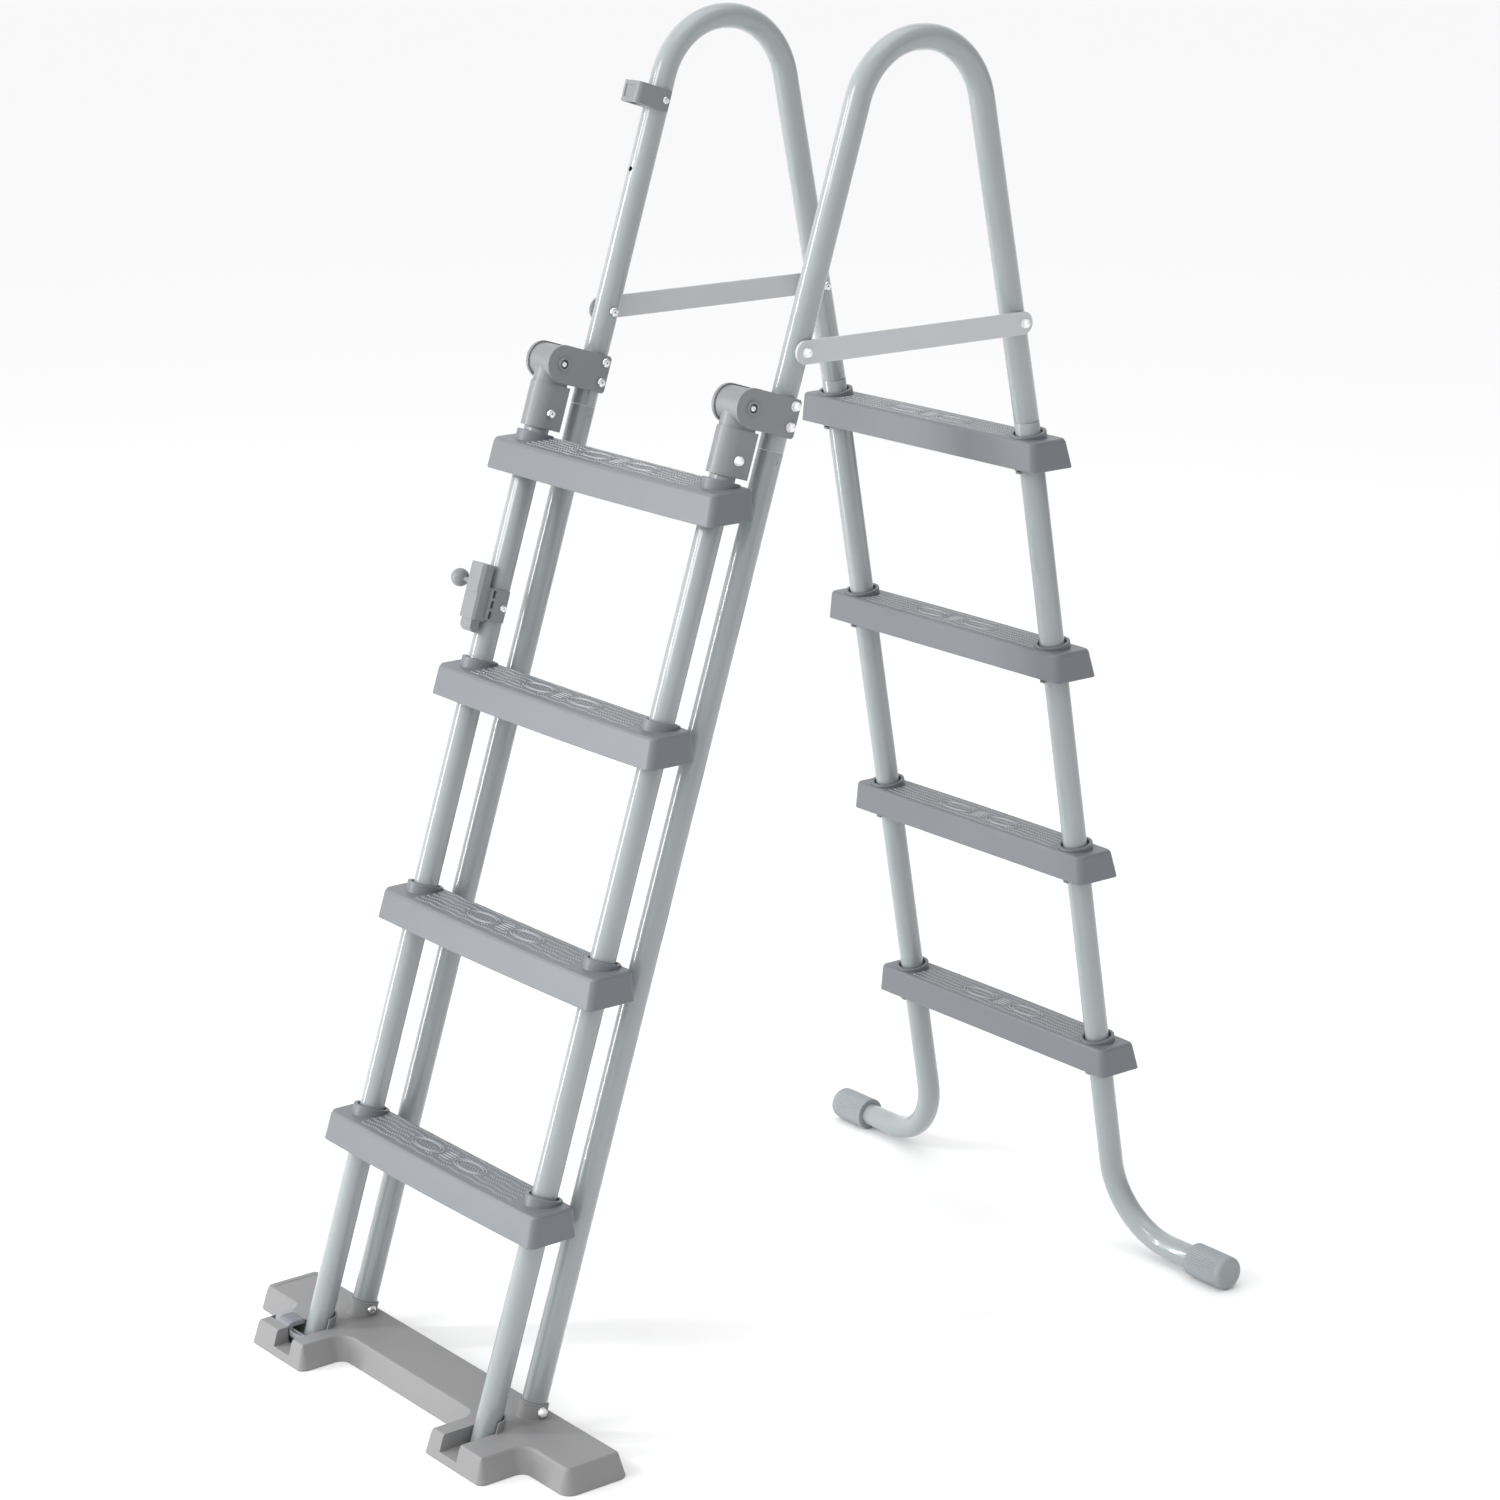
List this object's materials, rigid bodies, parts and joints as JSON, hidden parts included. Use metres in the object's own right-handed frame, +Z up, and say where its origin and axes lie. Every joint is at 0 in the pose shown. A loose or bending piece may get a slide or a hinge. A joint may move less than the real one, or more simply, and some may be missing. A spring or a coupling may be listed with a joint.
{
  "type": "pool ladder",
  "caption": "A-frame ladder for an above-ground pool, with a swing-up lockable outer ladder, bowed handrails, moulded steps and a base plate.",
  "frame": {"origin": "centre of the ladder's footprint, on the ground", "axes": "+X across the ladder to the climber's right when facing the pool, +Y from the swing ladder towards the pool, +Z up"},
  "size_m": [0.812, 1.1362, 1.672],
  "materials": {
    "tube_paint": "gloss",
    "step_plastic": "fine texture",
    "bracket_plastic": "fine texture",
    "base_plastic": "fine texture",
    "cap_plastic": "matt",
    "plated_steel": "bright",
    "lever_plastic": "satin"
  },
  "bodies": {
    "frame": {"base_plate": "base_plastic", "outer_leg_left": "tube_paint", "handrail_left": "tube_paint", "pool_leg_left": "tube_paint", "foot_cap_left": "cap_plastic", "spreader_bar_left": "tube_paint", "hinge_bracket_left": "bracket_plastic", "bracket_bolt_upper_left": "plated_steel", "bracket_bolt_lower_left": "plated_steel", "spreader_bolt_outer_left": "plated_steel", "spreader_bolt_pool_left": "plated_steel", "base_bolt_left": "plated_steel", "pivot_bolt_left": "plated_steel", "outer_leg_right": "tube_paint", "handrail_right": "tube_paint", "pool_leg_right": "tube_paint", "foot_cap_right": "cap_plastic", "spreader_bar_right": "tube_paint", "hinge_bracket_right": "bracket_plastic", "bracket_bolt_upper_right": "plated_steel", "bracket_bolt_lower_right": "plated_steel", "spreader_bolt_outer_right": "plated_steel", "spreader_bolt_pool_right": "plated_steel", "base_bolt_right": "plated_steel", "pivot_bolt_right": "plated_steel", "catch_loop": "bracket_plastic", "pool_step_1": "step_plastic", "pool_step_sleeve_1_left": "bracket_plastic", "pool_step_sleeve_1_right": "bracket_plastic", "pool_step_2": "step_plastic", "pool_step_sleeve_2_left": "bracket_plastic", "pool_step_sleeve_2_right": "bracket_plastic", "pool_step_3": "step_plastic", "pool_step_sleeve_3_left": "bracket_plastic", "pool_step_sleeve_3_right": "bracket_plastic", "pool_step_4": "step_plastic", "pool_step_sleeve_4_left": "bracket_plastic", "pool_step_sleeve_4_right": "bracket_plastic"},
    "swing_ladder": {"swing_leg_left": "tube_paint", "hinge_elbow_left": "bracket_plastic", "elbow_bolt_left": "plated_steel", "swing_leg_right": "tube_paint", "hinge_elbow_right": "bracket_plastic", "elbow_bolt_right": "plated_steel", "swing_step_1": "step_plastic", "swing_step_sleeve_1_left": "bracket_plastic", "swing_step_sleeve_1_right": "bracket_plastic", "swing_step_2": "step_plastic", "swing_step_sleeve_2_left": "bracket_plastic", "swing_step_sleeve_2_right": "bracket_plastic", "swing_step_3": "step_plastic", "swing_step_sleeve_3_left": "bracket_plastic", "swing_step_sleeve_3_right": "bracket_plastic", "swing_step_4": "step_plastic", "swing_step_sleeve_4_left": "bracket_plastic", "swing_step_sleeve_4_right": "bracket_plastic", "latch_housing": "bracket_plastic", "latch_spring": "plated_steel"},
    "latch_slider": {"latch_slider": "bracket_plastic"},
    "base_latch_lever": {"base_latch_lever": "lever_plastic"}
  },
  "joints": [
    {"name": "swing_ladder_hinge", "type": "hinge", "parent": "frame", "child": "swing_ladder", "pos_m": [0, -0.11852, 1.24133], "axis": [-1, 0, 0], "range_deg": [0, 180]},
    {"name": "latch_slide", "type": "slide", "parent": "swing_ladder", "child": "latch_slider", "axis": [0, 0.3065, 0.9519], "range_m": [0, 0.0175], "stiffness_N_per_m": 400, "springref_m": -0.01, "deforming": ["latch_spring"]},
    {"name": "base_lever_hinge", "type": "hinge", "parent": "frame", "child": "base_latch_lever", "pos_m": [-0.247, -0.52829, 0.0245], "axis": [0, 1, 0], "range_deg": [0, 16], "stiffness_Nm_per_rad": 0.8, "springref_deg": -11.46}
  ]
}
